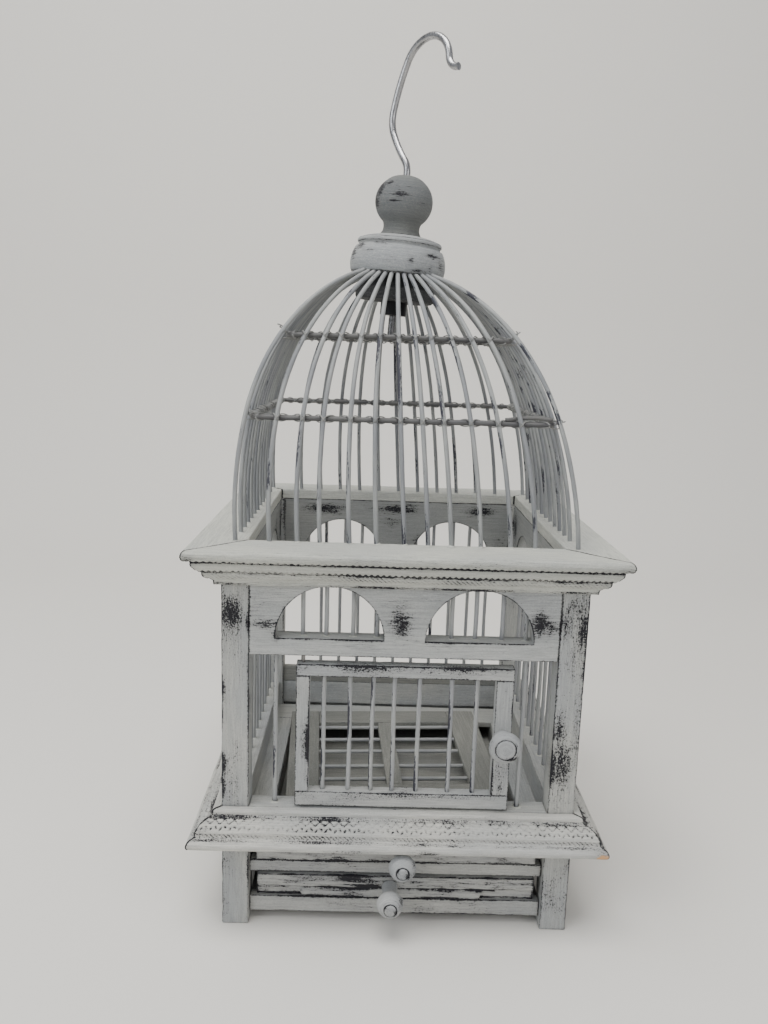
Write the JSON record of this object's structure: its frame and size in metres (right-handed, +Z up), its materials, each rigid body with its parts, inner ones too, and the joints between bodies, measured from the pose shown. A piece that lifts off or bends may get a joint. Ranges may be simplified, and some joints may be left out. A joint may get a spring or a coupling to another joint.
{
  "type": "bird cage",
  "caption": "Small square wooden bird cage on corner-post feet, with a wire dome, hinged barred door, shallow drawers under the floor and a hanging hook.",
  "frame": {"origin": "on the surface the cage stands on, in the middle of the square plan of the four posts", "axes": "+X to the right seen from the door side, +Y to the back, +Z up"},
  "size_m": [0.2768, 0.2789, 0.5991],
  "materials": {
    "paint_wood": "chalky distressed paint, satin to matte",
    "inner_wood": "thin rubbed paint, matte",
    "dark_wood": "dark undercoat, matte",
    "paint_bars": "worn paint, satin",
    "paint_wire": "worn paint, satin",
    "zinc_steel": "zinc plated",
    "black_steel": "blackened, satin",
    "pin_steel": "drawn wire"
  },
  "bodies": {
    "cage": {"apron_rail": "paint_wood", "arch_bars_front": "paint_bars", "arch_rail_back": "paint_wood", "arch_rail_front": "paint_wood", "arch_rail_left": "paint_wood", "arch_rail_right": "paint_wood", "back_seed_board": "paint_wood", "bars_back": "paint_bars", "bars_left": "paint_bars", "bars_right": "paint_bars", "base_moulding": "paint_wood", "base_rail_back": "paint_wood", "base_rail_front": "paint_wood", "base_rail_left": "paint_wood", "base_rail_right": "paint_wood", "cap_collar": "paint_wood", "cap_plug": "dark_wood", "case_back": "paint_wood", "case_floor": "inner_wood", "case_side_left": "paint_wood", "case_side_right": "paint_wood", "corner_post_back_left": "paint_wood", "corner_post_back_right": "paint_wood", "corner_post_front_left": "paint_wood", "corner_post_front_right": "paint_wood", "cornice_back": "paint_wood", "cornice_front": "paint_wood", "cornice_left": "paint_wood", "cornice_right": "paint_wood", "divider_rail": "paint_wood", "dome_bars_back": "paint_bars", "dome_bars_front": "paint_bars", "dome_bars_left": "paint_bars", "dome_bars_right": "paint_bars", "door_side_bars": "paint_bars", "drawer_runners": "inner_wood", "finial_knob": "paint_wood", "floor_grille_frame": "paint_wood", "floor_grille_rods": "paint_bars", "grille_ledges": "inner_wood", "hinge_pins": "pin_steel", "hoop_bindings": "paint_wire", "lower_hoop": "paint_wire", "upper_hoop": "paint_wire"},
    "door": {"door_top_rail": "paint_wood", "door_bottom_rail": "paint_wood", "door_hinge_stile": "paint_wood", "door_latch_stile": "paint_wood", "door_bars": "paint_bars", "door_knob": "paint_wood"},
    "upper_drawer": {"upper_drawer_front": "paint_wood", "upper_drawer_tray": "inner_wood", "upper_drawer_knob": "paint_wood"},
    "lower_drawer": {"lower_drawer_front": "paint_wood", "lower_drawer_tray": "inner_wood", "lower_drawer_knob": "paint_wood"},
    "hook": {"hanging_hook": "zinc_steel", "hanger_nut": "black_steel"}
  },
  "joints": [
    {"name": "door_hinge", "type": "hinge", "parent": "cage", "child": "door", "pos_m": [-0.0645, -0.1125, 0.137], "axis": [0, 0, -1], "range_deg": [0, 150]},
    {"name": "upper_drawer_slide", "type": "slide", "parent": "cage", "child": "upper_drawer", "axis": [0, -1, 0], "range_m": [0, 0.15]},
    {"name": "lower_drawer_slide", "type": "slide", "parent": "cage", "child": "lower_drawer", "axis": [0, -1, 0], "range_m": [0, 0.15]},
    {"name": "hook_swivel", "type": "hinge", "parent": "cage", "child": "hook", "pos_m": [-0.0102, 0, 0.439], "axis": [0.0698, 0, 0.9976], "continuous": true}
  ]
}
